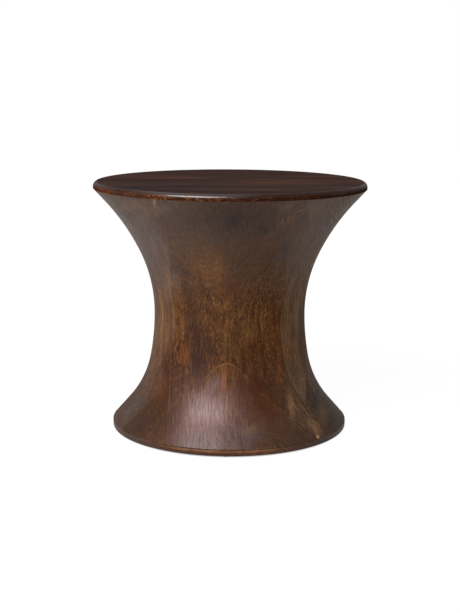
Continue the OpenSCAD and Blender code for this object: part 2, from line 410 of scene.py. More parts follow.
def stained_wood(
    name,
    tones,
    grain_x=False,
    ring_w=7 * mm,
    streak=75,
    streak_depth=0.1,
    rough=0.5,
    lacquer=0.35,
    lacquer_rough=0.38,
    haze=0.07,
):
    """Stained and lacquered wood: year rings round each plank's own heart, streaks, fibres and curl."""
    wood, tree, paint = new_finish(name)
    spot = grain_space(tree, grain_x)
    heart = node(tree, "ShaderNodeAttribute", attribute_name="Heart").outputs["Vector"]
    character = node(tree, "ShaderNodeAttribute", attribute_name="Character").outputs["Vector"]
    shade, red, figure = node(tree, "ShaderNodeSeparateXYZ", {0: character}).outputs
    own = vector_of(tree, "SUBTRACT", spot, heart)
    bent = wandering(tree, own, scaled(tree, own, 1, 1, 0.35), 9, 70 * mm)
    away = vector_of(tree, "LENGTH", scaled(tree, bent, 1, 1, 0))
    rings = math_of(tree, "SINE", times(tree, away, math.tau / ring_w))
    cloud = stretched(tree, own, 8, 0.4, 2)
    streaks = stretched(tree, own, streak, 0.05, 4, 0.6, 0.4)
    fibres = stretched(tree, own, 520, 0.035, 4, 0.6)
    curl = stretched(tree, own, 720, 0.2, 3, 0.72, 0.7)
    cloud_depth, ring_depth, fibre_depth, curl_depth = 0.13, 0.035, 0.15, 0.3
    tone = times(tree, swing(tree, cloud), cloud_depth)
    for part, depth in (
        (rings, ring_depth),
        (swing(tree, streaks), streak_depth),
        (swing(tree, fibres), fibre_depth),
        (times(tree, swing(tree, curl, 0.15), curl_depth), figure),
    ):
        tone = plus(tree, tone, times(tree, part, depth))
    ramp = node(tree, "ShaderNodeValToRGB", {"Fac": plus(tree, plus(tree, tone, 0.5), shade)})
    ramp.color_ramp.elements[0].color = tones[0]
    ramp.color_ramp.elements[1].color = tones[-1]
    for i, colour in enumerate(tones[1:-1], 1):
        ramp.color_ramp.elements.new(i / (len(tones) - 1)).color = colour
    redder = {
        "Hue": fit(tree, red, -1, 1, 0.503, 0.494),
        "Saturation": fit(tree, red, -1, 1, 0.72, 1.26),
        "Color": ramp.outputs["Color"],
    }
    tree.links.new(node(tree, "ShaderNodeHueSaturation", redder).outputs[0], paint["Base Color"])
    tree.links.new(fit(tree, fibres, 0.3, 0.7, rough + 0.05, rough - 0.05), paint["Roughness"])
    bumped(tree, fibres, 0.15, 0.2 * mm)
    paint["Specular IOR Level"].default_value = 0
    paint["Coat Weight"].default_value = lacquer
    paint["Sheen Weight"].default_value = haze
    paint["Sheen Roughness"].default_value = 0.3
    paint["Coat Roughness"].default_value = lacquer_rough
    return wood


block_wood = stained_wood(
    "stained block wood", [srgb(28, 17, 12), srgb(60, 37, 21), srgb(94, 60, 28), srgb(148, 106, 54)]
)


def painted_over(wood, mask, colour):
    """Mixes a colour over what the wood shows so far, where the mask is 1."""
    tree = wood.node_tree
    face = tree.nodes["Principled BSDF"].inputs["Base Color"]
    tree.links.new(blended(tree, mask, face.links[0].from_socket, colour), face)


def straying_xyz(tree, scale, amount):
    """The x, y and z of a place on the piece that strays a little."""
    spot = object_spot(tree)
    return node(tree, "ShaderNodeSeparateXYZ", {0: wandering(tree, spot, spot, scale, amount)}).outputs


def on_front(tree, y):
    """1 on the front of the block, the one side that has marks of its own."""
    return fit(tree, y, -50 * mm, -70 * mm)


def root_of_squares(tree, first, second):
    squares = math_of(tree, "POWER", first, 2), math_of(tree, "POWER", second, 2)
    return math_of(tree, "SQRT", plus(tree, *squares))


def figure_mark(tree, spot, feather, place, soft):
    """A lens on the front of the block, from one x and height to another in millimetres, bowed between."""
    x, y, z = spot
    first, low, second, high, half_w, bow = (v * mm for v in place)
    share = fit(tree, z, low, high)
    swell = times(tree, times(tree, share, less(tree, 1.0, share)), 4 * bow)
    line = plus(tree, fit(tree, z, low, high, first, second), swell)
    across = math_of(tree, "DIVIDE", less(tree, x, line), half_w)
    along = math_of(tree, "DIVIDE", less(tree, z, (low + high) / 2), (high - low) / 2)
    off = plus(tree, root_of_squares(tree, across, along), feather)
    return times(tree, fit(tree, off, 1.0, 1.0 - soft), on_front(tree, y))


dark_heartwood, purple_stain, mahogany = srgb(30, 22, 24), srgb(42, 27, 26), srgb(54, 27, 15)
orange_wood, tan_wood, red_wood = srgb(150, 92, 44), srgb(158, 118, 80), srgb(104, 56, 30)
slate_stain, painted_blue_sheen, honey_wood = srgb(40, 40, 44), srgb(78, 76, 84), srgb(124, 86, 42)
plum_stain, grey_tan_and_painted_sheen, rose_wood = srgb(44, 31, 27), srgb(122, 110, 102), srgb(92, 42, 38)
warm_brown, olive_stain = srgb(86, 48, 22), srgb(46, 32, 18)
# Each mark, with its lengths in mm: x and height of its lower end, of its upper end,
# half width and bow, then softness, colour and strength.
block_marks = (
    (-54, 88, -72, 280, 26, 12, 0.9, purple_stain, 0.8),
    (-32, 134, -46, 205, 19, 10, 0.9, purple_stain, 0.55),
    (-100, 96, -60, 135, 26, 0, 1.0, purple_stain, 0.4),
    (60, 90, 70, 130, 26, 0, 1.0, purple_stain, 0.35),
    (-62, 98, -52, 182, 20, 4, 0.9, purple_stain, 0.72),
    (62, 80, 50, 210, 40, 0, 1.0, mahogany, 0.5),
    (-84, 128, -88, 186, 16, 5, 0.9, red_wood, 0.32),
    (-76, 140, -74, 178, 4, 2, 0.8, orange_wood, 0.12),
    (-88, 160, -88, 174, 2.5, 0, 0.6, dark_heartwood, 0.9),
    (-88, 131, -87, 143, 5, 0, 0.8, dark_heartwood, 0.7),
    (30, 132, 27, 144, 1.8, 0, 0.6, dark_heartwood, 0.9),
    (32, 122, 30, 133, 1.8, 0, 0.7, orange_wood, 0.6),
    (10, 250, 10, 268, 1.2, 0, 0.7, dark_heartwood, 0.7),
    (8, 386, 10, 424, 19, 0, 0.9, dark_heartwood, 0.35),
    (60, 380, 62, 400, 12, 0, 0.9, dark_heartwood, 0.4),
    (-121, 428, -119, 450, 3.8, 0, 0.7, tan_wood, 0.45),
    (-104, 250, -98, 330, 6, -6, 0.8, orange_wood, 0.1),
    (-5, 100, -2, 152, 6, 0, 0.9, orange_wood, 0.2),
    # The next three grey marks, at the left of the waist and at both upper flanks, are painted sheen.
    (-108, 244, -92, 330, 24, 0, 1.0, grey_tan_and_painted_sheen, 0.15),
    (-124, 408, -104, 450, 38, 0, 1.0, grey_tan_and_painted_sheen, 0.2),
    (138, 414, 142, 450, 20, 0, 1.0, grey_tan_and_painted_sheen, 0.2),
    (34, 30, 46, 56, 16, 0, 1.0, tan_wood, 0.15),
    (117, 44, 108, 100, 8, 0, 0.8, tan_wood, 0.25),
    (168, 12, 138, 52, 10, 3, 0.9, tan_wood, 0.26),
    (162, 15, 160, 23, 3, 0, 0.8, tan_wood, 0.8),
    (-112, 40, -92, 150, 40, 0, 1.0, mahogany, 0.55),
    (70, 28, 46, 134, 56, 0, 1.0, mahogany, 0.85),
    (-16, 290, -20, 366, 24, 0, 1.0, orange_wood, 0.08),
    (-128, 68, -104, 130, 22, 0, 1.0, warm_brown, 0.45),
    (-196, 410, -142, 446, 26, 8, 0.9, tan_wood, 0.13),
    (-150, 385, -140, 440, 18, 6, 0.9, tan_wood, 0.1),
    (30, 62, 32, 144, 34, 0, 1.0, mahogany, 0.8),
    (98, 325, 102, 372, 15, 0, 0.9, slate_stain, 0.4),
    (6, 394, 16, 428, 19, 0, 0.9, slate_stain, 0.5),
    (8, 432, 30, 446, 60, 0, 0.8, red_wood, 0.12),
    (-46, -20, -26, 138, 66, 0, 1.0, rose_wood, 0.55),
    (-106, 70, -94, 118, 15, 0, 0.8, dark_heartwood, 0.28),
    (-128, 15, -98, 118, 40, 0, 1.0, olive_stain, 0.5),
    (6, 340, 14, 500, 72, 0, 1.0, plum_stain, 0.5),
    (90, 150, 84, 290, 20, 0, 0.9, mahogany, 0.4),
    # Painted sheen, greyish blue, low on the left flank.
    (-206, 16, -162, 108, 26, 6, 1.0, painted_blue_sheen, 0.4),
    (56, 176, 54, 262, 5, 0, 0.8, mahogany, 0.45),
    (82, 190, 80, 284, 4, 0, 0.8, mahogany, 0.5),
    (8, 176, 12, 240, 4, 0, 0.8, mahogany, 0.35),
    (38, 180, 44, 228, 14, 0, 0.9, honey_wood, 0.16),
    (-10, 236, -8, 262, 20, 0, 0.9, honey_wood, 0.12),
    (4, 250, 12, 320, 26, 0, 1.0, mahogany, 0.3),
    # Painted sheen, greyish blue, high on the left flank.
    (-136, 240, -196, 480, 44, 34, 1.0, painted_blue_sheen, 0.42),
    # Painted sheen, grey, high on the right flank.
    (126, 220, 196, 480, 46, -34, 1.0, grey_tan_and_painted_sheen, 0.2),
    (-150, 100, -122, 175, 12, -4, 0.9, mahogany, 0.35),
    (-116, 84, -96, 204, 17, 0, 0.9, mahogany, 0.5),
    (-112, 86, -90, 168, 20, 0, 0.9, dark_heartwood, 0.35),
    (176, 26, 168, 66, 14, 0, 1.0, tan_wood, 0.13),
    (128, 92, 120, 150, 15, 0, 1.0, slate_stain, 0.4),
    # A painted highlight that carries the lit patch up under the arch.
    (-28, 94, -18, 138, 17, 0, 1.0, grey_tan_and_painted_sheen, 0.25),
    (30, 92, 28, 202, 26, 0, 1.0, mahogany, 0.5),
    (20, 240, 24, 276, 13, 0, 1.0, mahogany, 0.35),
    # The next two grey marks on the right are painted sheen.
    (128, 170, 126, 270, 13, 0, 0.9, grey_tan_and_painted_sheen, 0.6),
    (94, 420, 108, 452, 16, 0, 0.9, grey_tan_and_painted_sheen, 0.16),
    # Painted sheen, greyish blue, low on the front right of the middle.
    (28, 10, 62, 62, 40, 0, 1.0, painted_blue_sheen, 0.14),
    (-50, 8, -38, 46, 26, 0, 1.0, purple_stain, 0.35),
    (-160, -8, -140, 46, 18, 0, 1.0, dark_heartwood, 0.4),
    (-2, 150, 4, 250, 5, -4, 0.8, honey_wood, 0.2),
    (-42, 250, -58, 330, 9, 4, 0.9, olive_stain, 0.35),
    (88, 92, 94, 190, 8, 0, 0.9, red_wood, 0.25),
)
tree = block_wood.node_tree
block_spot = object_spot(tree)
block_xyz = node(tree, "ShaderNodeSeparateXYZ", {0: block_spot}).outputs
block_height = block_xyz["Z"]
glow_x = -23 * mm
aside = math_of(tree, "ABSOLUTE", less(tree, block_xyz["X"], glow_x))
facing = node(tree, "ShaderNodeNewGeometry").outputs["Normal"]
tilt = node(tree, "ShaderNodeSeparateXYZ", {0: facing}).outputs["Z"]
# Faces that look up show darker, pinker end grain, painted greyer towards the left and right as a painted
# sheen.
painted_sheen_at_sides = fit(tree, aside, 75 * mm, 160 * mm)
end_grain_and_painted_sheen = blended(tree, painted_sheen_at_sides, srgb(50, 31, 30), srgb(44, 38, 34))
painted_over(block_wood, fit(tree, tilt, 0.1, 0.6, 0.0, 0.66), end_grain_and_painted_sheen)
# Faces that look down are greyed, partly end grain and partly a painted reflection of the pale floor.
painted_over(block_wood, fit(tree, tilt, -0.1, -0.6, 0.0, 0.3), srgb(62, 52, 50))
# The upper part is greyed as a painted reflection of the pale floor.
painted_over(block_wood, fit(tree, block_height, 270 * mm, 390 * mm, 0.0, 0.4), srgb(70, 58, 50))
ring_lines = noise(tree, scaled(tree, block_spot, 1, 0.12, 0.05), 480, 3, 0.65)
bare_ring = fit(tree, block_height, 200 * mm, 130 * mm)
bare_ring = times(tree, bare_ring, fit(tree, aside, 110 * mm, 45 * mm, 0.2, 1.0))
bare_ring = times(tree, bare_ring, fit(tree, block_height, 25 * mm, 60 * mm, 0.3, 1.0))
for none, full, strength, colour in (
    (0.5, 0.36, 0.48, srgb(26, 15, 11)),
    (0.52, 0.66, 0.2, srgb(136, 88, 60)),
):
    ring_line = times(tree, fit(tree, ring_lines, none, full), bare_ring)
    painted_over(block_wood, times(tree, ring_line, strength), colour)
straying = straying_xyz(tree, 90, 6 * mm)
feather = fit(tree, stretched(tree, block_spot, 160, 0.08, 3, 0.6), 0.3, 0.7, -0.3, 0.3)
for *place, soft, colour, strength in block_marks:
    mask = figure_mark(tree, straying, feather, place, soft)
    painted_over(block_wood, times(tree, mask, strength), colour)

knot_x, knot_y, knot_z = straying_xyz(tree, 60, 9 * mm)
knot_mid_x, knot_mid_z, knot_ring_w = -86 * mm, 156 * mm, 5.5 * mm
knot_flatness = 0.42
knot_x = less(tree, knot_x, knot_mid_x)
knot_z = times(tree, less(tree, knot_z, knot_mid_z), knot_flatness)
knot_off = root_of_squares(tree, knot_x, knot_z)
knot_ring = math_of(tree, "SINE", times(tree, knot_off, math.tau / knot_ring_w))
knot_ring = times(tree, fit(tree, knot_ring, 0.1, 0.9), fit(tree, knot_off, 19 * mm, 11 * mm))
knot_ring = times(tree, knot_ring, on_front(tree, knot_y))
painted_over(block_wood, times(tree, knot_ring, 0.5), dark_heartwood)


def grain_along(tree, spot, way, scale):
    """Fine noise drawn out along one direction, for places where the grain runs askew."""
    drawn_out = 0.94
    share = times(tree, vector_of(tree, "DOT_PRODUCT", spot, way), drawn_out)
    drawn = vector_of(tree, "SUBTRACT", spot, vector_of(tree, "SCALE", way, share))
    return noise(tree, drawn, scale, 3, 0.6)


for way, scale, place, colour, strength in (
    ((0.56, -0.58, -0.59), 260, (-30, 8, 4, 62, 42, 0), purple_stain, 0.8),
    ((0.56, -0.58, -0.59), 230, (-26, 8, 6, 56, 36, 0), grey_tan_and_painted_sheen, 0.3),
    ((0.57, -0.15, -0.81), 330, (156, 8, 110, 110, 22, 0), tan_wood, 0.3),
    ((0.55, -0.58, 0.6), 380, (84, 388, 132, 440, 16, 0), tan_wood, 0.5),
    ((-0.45, -0.3, 0.84), 300, (-100, 300, -150, 410, 26, 0), tan_wood, 0.22),
):
    askew = fit(tree, grain_along(tree, block_spot, way, scale), 0.5, 0.68)
    mask = figure_mark(tree, straying, feather, place, 0.9)
    painted_over(block_wood, times(tree, times(tree, mask, askew), strength), colour)

glue_front = -170 * mm
glue_shows = (
    (-145 * mm, 420 * mm, 45 * mm),
    (105 * mm, 415 * mm, 35 * mm),
    (-16 * mm, 144 * mm, 46 * mm),
    (130 * mm, 45 * mm, 45 * mm),
)


def glue_lines(wood, half_t, strength, colour):
    """Thin lines where the edges of a plank or board meet the next one, fading in and out."""
    tree = wood.node_tree
    spot = object_spot(tree)
    low = node(tree, "ShaderNodeAttribute", attribute_name="Low Corner").outputs["Vector"]
    high = node(tree, "ShaderNodeAttribute", attribute_name="High Corner").outputs["Vector"]
    inside = vector_of(tree, "SUBTRACT", spot, low), vector_of(tree, "SUBTRACT", high, spot)
    least = node(tree, "ShaderNodeSeparateXYZ", {0: vector_of(tree, "MINIMUM", *inside)}).outputs
    face_joints_thinner = 3.5
    nearest = math_of(tree, "MINIMUM", least["X"], times(tree, least["Y"], face_joints_thinner))
    edge = fit(tree, nearest, half_t, half_t * 0.4)
    patchy = fit(tree, noise(tree, spot, 14), 0.48, 0.62, 0.04, 0.2)
    for place_x, place_z, reach in glue_shows:
        away = vector_of(tree, "DISTANCE", spot, (place_x, glue_front, place_z))
        patchy = math_of(tree, "MAXIMUM", patchy, fit(tree, away, reach * 1.3, reach * 0.7, 0, strength))
    painted_over(wood, times(tree, edge, patchy), colour)


glue_lines(block_wood, 0.45 * mm, 0.28, tan_wood)
below_waist = fit(tree, block_height, 90 * mm, 155 * mm, 0.47, 0.08)
narrowing = fit(tree, block_height, 55 * mm, 120 * mm, -8 * mm, 14 * mm)
narrowed = plus(tree, aside, narrowing)
below_waist = times(tree, below_waist, fit(tree, narrowed, 44 * mm, 88 * mm, 1.0, 0.12))
above_waist = fit(tree, block_height, 230 * mm, 380 * mm, 0.0, 0.22)
thick_lacquer = plus(tree, below_waist, above_waist)
thick_lacquer = times(tree, thick_lacquer, fit(tree, ring_lines, 0.35, 0.65, 0.65, 1.35))
tree.links.new(thick_lacquer, tree.nodes["Principled BSDF"].inputs["Coat Weight"])
plank_t = 41 * mm
layer_3_out, foot_joint_share = 143.5 * mm, 0.43
foot_joint_y = base_r - foot_joint_share * (base_r - layer_3_out)
far = 260 * mm
heart_half = 61.5 * mm
left_x, right_x, wing_x = -58 * mm, 140 * mm, 102.5 * mm
short_left_x, short_right_x = -118 * mm, 84 * mm
over_top = 460 * mm
whole, top, foot = (0, over_top), (waist_z, over_top), (0, waist_z)
luck = random.Random(11)
# Each plank: layer, left and right edge, lower and upper end, and its character,
# which is how light, how red and how strongly figured it is.
sides = {
    "1_left_plank": (1, -far, -heart_half, whole, (0.06, -0.8, 0.3)),
    "1_right_plank": (1, heart_half, far, whole, (0.0, -0.9, 0.4)),
    "2_left_plank": (2, -far, left_x, whole, (0.02, -0.6, 0.4)),
    "2_centre_plank": (2, left_x, right_x, whole, (0.1, -0.6, 0.4)),
    "2_top_right_block": (2, right_x, far, top, (0.04, -0.5, 0.5)),
    "2_foot_right_block": (2, right_x, far, foot, (-0.08, -0.9, 0.3)),
    "3_centre_plank": (3, -wing_x, wing_x, whole, (-0.06, -0.05, 1.0)),
    "3_top_left_block": (3, -far, -wing_x, top, (0.02, -0.15, 0.5)),
    "3_top_right_block": (3, wing_x, far, top, (0.04, -0.3, 0.5)),
    "3_foot_left_block": (3, -far, -wing_x, foot, (-0.05, 0.25, 1.2)),
    "3_foot_right_block": (3, wing_x, far, foot, (0.0, -0.2, 0.7)),
    "4_top_left_block": (4, -far, left_x, top, (0.0, -0.1, 0.5)),
    "4_top_centre_block": (4, left_x, right_x, top, (-0.05, 0.1, 0.5)),
    "4_top_right_block": (4, right_x, far, top, (0.05, -0.3, 0.4)),
    "4_foot_left_block": (4, -far, left_x, foot, (-0.06, -0.1, 1.0)),
    "4_foot_right_block": (4, left_x, far, foot, (-0.03, 0.05, 0.6)),
    "5_top_left_block": (5, -far, short_left_x, top, (0.0, -0.4, 0.4)),
    "5_top_centre_block": (5, short_left_x, short_right_x, top, (-0.08, -0.3, 0.4)),
    "5_top_right_block": (5, short_right_x, far, top, (0.0, -0.4, 0.4)),
    "5_foot_block": (5, -far, far, foot, (-0.06, -0.35, 0.8)),
    "6_top_block": (6, -far, far, top, (-0.07, -0.4, 0.5)),
}


def cut_plank(name, outline, low, high, bored, wood, heart, character):
    """One plank of a turning as a finished piece: its mesh, its normals and what its wood is like."""
    values = {
        "Steps Round": steps_round,
        "Low Corner": Vector(low),
        "High Corner": Vector(high),
        "Bored Holes": bored,
        "Wood": wood,
    }
    piece = evaluated(name, outline, plank_tree, values)
    mesh = piece.data
    one_finish(mesh, wood)
    smooth_turning(mesh, outline)
    for attribute, value in (("Heart", heart), ("Character", character)):
        stored = mesh.attributes.new(attribute, "FLOAT_VECTOR", "POINT")
        stored.data.foreach_set("vector", list(value) * len(mesh.vertices))
    return piece


def finish_piece(piece, cad_node):
    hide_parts(cad_node)
    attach(piece, "root")


def turned_half_round(piece, name):
    """A copy of a front plank on the opposite side of the axis."""
    mesh = piece.data.copy()
    mesh.name = name
    mesh.transform(Matrix.Rotation(math.pi, 4, "Z"))
    low = piece.data.attributes["Low Corner"].data[0].vector
    high = piece.data.attributes["High Corner"].data[0].vector
    corners = {"Low Corner": (-high.x, -high.y, low.z), "High Corner": (-low.x, -low.y, high.z)}
    for corner, value in corners.items():
        mesh.attributes[corner].data.foreach_set("vector", value * len(mesh.vertices))
    return stood(name, mesh)


def some_heart():
    """Where the middle of the tree stood, as seen from a plank's own place."""
    return (luck.uniform(-0.12, 0.12), luck.uniform(-0.3, 0.3), luck.uniform(-1, 1))


for name, (layer, left, right, (low, high), character) in sides.items():
    near = (layer - 0.5) * plank_t
    out = near + plank_t
    if name == "5_foot_block":
        near, out = foot_joint_y, far
    elif layer == 6:
        out = far
    elif layer == 4 and high == waist_z:
        out = foot_joint_y
    bored = block_holes if layer in (1, 3) else None
    corners = (left, -out, low), (right, -near, high)
    wood_name = "front_" + name + "_wood"
    front = cut_plank(wood_name, block_outline, *corners, bored, block_wood, some_heart(), character)
    back = turned_half_round(front, "back_" + name + "_wood")
    finish_piece(front, "front_" + name)
    finish_piece(back, "back_" + name)
right_plank = cut_plank(
    "middle_right_plank_wood",
    block_outline,
    (heart_half, -plank_t / 2, 0),
    (far, plank_t / 2, over_top),
    None,
    block_wood,
    some_heart(),
    (0.0, -0.5, 0.4),
)
left_plank = turned_half_round(right_plank, "middle_left_plank_wood")
finish_piece(right_plank, "middle_right_plank")
finish_piece(left_plank, "middle_left_plank")

# The seat boards
# Five boards with their grain from left to right are glued edge to edge, turned to a
# disc 12 mm thick with a rounded upper edge, and dowelled to the block.
seat_top = 457 * mm
seat_round = 8.5 * mm
seat_outline = (
    [(0, block_high), (seat_r, block_high)]
    + rounding((seat_r - seat_round, seat_top - seat_round), seat_round, 0, math.pi / 2)
    + [(0, seat_top)]
)
seat_wood = stained_wood(
    "stained seat wood",
    [srgb(12, 8, 10), srgb(32, 20, 17), srgb(56, 35, 27), srgb(92, 60, 44)],
    grain_x=True,
    ring_w=37 * mm,
    streak=32,
    streak_depth=0.19,
    lacquer_rough=0.24,
    haze=0,
)
tree = seat_wood.node_tree
seat_spot = object_spot(tree)
seat_xyz = node(tree, "ShaderNodeSeparateXYZ", {0: seat_spot}).outputs
seat_x, seat_z = seat_xyz["X"], seat_xyz["Z"]
# The edge below the top rounding is painted darker all round, a painted shade.
painted_shade_edge = fit(tree, seat_z, 456.6 * mm, 455.2 * mm)
painted_over(seat_wood, times(tree, painted_shade_edge, 0.9), srgb(30, 15, 10))
edge_fleck = fit(tree, stretched(tree, grain_space(tree, True), 400, 0.3, 5, 0.75), 0.48, 0.62)
edge_fleck = times(tree, edge_fleck, fit(tree, seat_z, 454.6 * mm, 452 * mm))
clusters = fit(tree, noise(tree, seat_spot, 26), 0.38, 0.62, 0.35, 1.0)
edge_fleck = times(tree, edge_fleck, clusters)
edge_fleck = times(tree, edge_fleck, fit(tree, seat_x, -20 * mm, 60 * mm, 1.0, 0.4))
painted_over(seat_wood, edge_fleck, srgb(108, 56, 22))
x, y, z = straying_xyz(tree, 12, 40 * mm)
on_top = fit(tree, seat_z, 455 * mm, 456 * mm)
# Each streak, in mm: y and x of its left end, of its right end, and half width.
for first, left, second, right, half_w, colour, strength in (
    (-152, -215, -104, -20, 22, srgb(22, 20, 28), 0.5),
    (36, -75, 40, 60, 13, srgb(18, 16, 20), 0.5),
    (110, -170, 95, 40, 10, srgb(24, 16, 16), 0.45),
    (-190, -60, -180, 120, 12, srgb(76, 44, 34), 0.28),
    (-60, -10, -60, 210, 24, srgb(70, 42, 32), 0.22),
):
    line = fit(tree, x, left * mm, right * mm, first * mm, second * mm)
    across = math_of(tree, "DIVIDE", less(tree, y, line), half_w * mm)
    along = less(tree, x, (left + right) / 2 * mm)
    along = math_of(tree, "DIVIDE", along, (right - left) / 2 * mm)
    off = plus(tree, math_of(tree, "POWER", across, 2), math_of(tree, "POWER", along, 2))
    mask = times(tree, fit(tree, off, 1.0, 0.2), on_top)
    painted_over(seat_wood, times(tree, mask, strength), colour)
glint_x = -52 * mm
at_glint = math_of(tree, "ABSOLUTE", less(tree, seat_x, glint_x))
at_glint = fit(tree, at_glint, 115 * mm, 60 * mm, 0.2, 0.85)
shine = fit(tree, seat_z, 456.9 * mm, 456.3 * mm, 0.028, at_glint)
shine = times(tree, shine, fit(tree, seat_z, 449 * mm, 454 * mm, 0.08, 1.0))
tree.links.new(shine, tree.nodes["Principled BSDF"].inputs["Coat Weight"])
seat_boards = {
    "seat_front_board": (-far, -186 * mm, (0.0, 0, 0.3)),
    "seat_front_middle_board": (-186 * mm, -62 * mm, (-0.06, -0.5, 0.3)),
    "seat_centre_board": (-62 * mm, 62 * mm, (0.04, 0, 0.3)),
    "seat_back_middle_board": (62 * mm, 186 * mm, (-0.02, 0, 0.3)),
    "seat_back_board": (186 * mm, far, (0.03, 0, 0.3)),
}
for name, (near, out, character) in seat_boards.items():
    corners = (-far, near, 400 * mm), (far, out, 500 * mm)
    board = cut_plank(name + "_wood", seat_outline, *corners, dowel_holes, seat_wood, some_heart(), character)
    finish_piece(board, name)


# The dowels
# Eight fluted beech dowels, glued half in the block and half in the seat boards, hold
# the seat. Their flutes let the glue and the air out of the blind holes.
def fixing_tree():
    """Turns an outline, cuts flutes or a thread and a recess in it, and sets one at every place."""
    sockets = (
        ("Outline", "Geometry"),
        ("Steps Round", "Int"),
        ("Places", "Object"),
        ("Flutes", "Int"),
        ("Flute Depth", "Float"),
        ("Thread Pitch", "Float"),
        ("Thread Depth", "Float"),
        ("Shaped From", "Float"),
        ("Shaped To", "Float"),
        ("Recess", "Object"),
        ("Finish", "Material"),
    )
    tree, given = new_tree("turned fixings", sockets, "Fixings")
    sheet, point, share = sheet_round(tree, given)
    outline = node(tree, "ShaderNodeSeparateXYZ", {0: point}).outputs
    radius, height = outline["X"], outline["Z"]
    wave = math_of(tree, "COSINE", times(tree, times(tree, share, math.tau), given["Flutes"]))
    flute = times(tree, times(tree, plus(tree, wave, 1.0), 0.5), given["Flute Depth"])
    climb = math_of(tree, "FRACT", less(tree, math_of(tree, "DIVIDE", height, given["Thread Pitch"]), share))
    flank = times(tree, math_of(tree, "ABSOLUTE", less(tree, climb, 0.5)), 2.0)
    thread = times(tree, flank, given["Thread Depth"])
    after = math_of(tree, "GREATER_THAN", height, given["Shaped From"])
    before = math_of(tree, "LESS_THAN", height, given["Shaped To"])
    shaped = times(tree, times(tree, after, before), plus(tree, flute, thread))
    shaped_point = {"X": less(tree, radius, shaped), "Z": height}
    point = node(tree, "ShaderNodeCombineXYZ", shaped_point).outputs[0]
    cut = cut_out(tree, closed_turning(tree, sheet, point, share), given["Recess"])
    places = node(tree, "GeometryNodeObjectInfo", {"Object": given["Places"]}).outputs["Geometry"]
    each = node(tree, "GeometryNodeInstanceOnPoints", {"Points": places, "Instance": cut}).outputs[0]
    return finished(tree, each, given["Finish"])


fixings = fixing_tree()


def set_of_fixings(name, outline, places, finish, **shape):
    """The same turned piece at every place, as one named piece with one finish."""
    marker = stood(name + " places", mesh_of(name + " places", [(x, y, 0) for x, y in places]))
    values = {"Places": marker, "Finish": finish, "Thread Pitch": 1.0, "Steps Round": 48, "Shaped To": 1.0}
    values.update(shape)
    piece = evaluated(name, outline, fixings, values)
    bpy.data.objects.remove(marker)
    one_finish(piece.data, finish)
    piece.data.shade_smooth()
    piece.data.set_sharp_from_angle(angle=math.radians(35))
    return piece


dowel_r, dowel_low, dowel_high = 4 * mm, 424 * mm, 452 * mm
dowel_bevel = 1 * mm
dowel_outline = [
    (0, dowel_low),
    (dowel_r - dowel_bevel, dowel_low),
    (dowel_r, dowel_low + dowel_bevel),
    (dowel_r, dowel_low + 2 * dowel_bevel),
    (dowel_r, dowel_high - 2 * dowel_bevel),
    (dowel_r, dowel_high - dowel_bevel),
    (dowel_r - dowel_bevel, dowel_high),
    (0, dowel_high),
]
beech = stained_wood(
    "raw beech",
    [srgb(150, 108, 68), srgb(192, 152, 104), srgb(212, 176, 128), srgb(230, 200, 156)],
    ring_w=3 * mm,
    rough=0.65,
    lacquer=0,
    haze=0,
)
dowel_shape = {
    "Steps Round": 96,
    "Flutes": 16,
    "Flute Depth": 0.4 * mm,
    "Shaped From": dowel_low + 1.5 * dowel_bevel,
    "Shaped To": dowel_high - 1.5 * dowel_bevel,
}
dowels = set_of_fixings("seat_dowels_beech", dowel_outline, fixing_places, beech, **dowel_shape)
finish_piece(dowels, "seat_dowels")

# The base boards
# Three boards glued edge to edge close the foot of the block and are screwed up into
# it. A thin band on their edge is paler near the front and back, part wear and part
# painted highlight, and their left and right ends are painted greyer as a painted sheen.
base_low = 3 * mm
base_round = 4 * mm
base_top_round = 2 * mm
base_outline = (
    [(0, base_low)]
    + rounding((base_r - base_round, base_low + base_round), base_round, -math.pi / 2, 0)
    + rounding((base_r - base_top_round, block_low - base_top_round), base_top_round, 0, math.pi / 2)
    + [(0, block_low)]
)
base_wood = stained_wood(
    "stained base wood",
    [srgb(26, 14, 9), srgb(50, 30, 20), srgb(74, 46, 30), srgb(110, 70, 42)],
    grain_x=True,
)
tree = base_wood.node_tree
base_z = straying_xyz(tree, 120, 1.5 * mm)["Z"]
base_spot = object_spot(tree)
base_x = node(tree, "ShaderNodeSeparateXYZ", {0: base_spot}).outputs["X"]
from_front = math_of(tree, "ABSOLUTE", base_x)
# The left and right ends are painted greyer, a painted sheen.
painted_over(base_wood, fit(tree, from_front, 90 * mm, 190 * mm, 0.0, 0.75), srgb(44, 36, 32))
# A thin paler band on the edge near the front and back, part wear and part painted highlight.
worn_and_highlit_edge = fit(tree, base_z, 9.4 * mm, 10.6 * mm)
worn_and_highlit_edge = times(tree, worn_and_highlit_edge, fit(tree, base_z, 13.8 * mm, 13 * mm))
worn_and_highlit_place = fit(tree, from_front, 130 * mm, 60 * mm, 0.03, 0.58)
worn_and_highlit_noise = noise(tree, base_spot, 40, 4, 0.7)
worn_and_highlit_place = times(tree, worn_and_highlit_place, fit(tree, worn_and_highlit_noise, 0.38, 0.6, 0.3, 1.1))
painted_over(base_wood, times(tree, worn_and_highlit_edge, worn_and_highlit_place), srgb(134, 90, 56))
base_boards = {
    "base_front_board": (-far, -72 * mm, (0.0, 0.2, 0.5)),
    "base_centre_board": (-72 * mm, 72 * mm, (0.05, 0.0, 0.5)),
    "base_back_board": (72 * mm, far, (-0.05, 0.2, 0.5)),
}
for name, (near, out, character) in base_boards.items():
    corners = (-far, near, 0), (far, out, 20 * mm)
    board = cut_plank(name + "_wood", base_outline, *corners, screw_holes, base_wood, some_heart(), character)
    finish_piece(board, name)

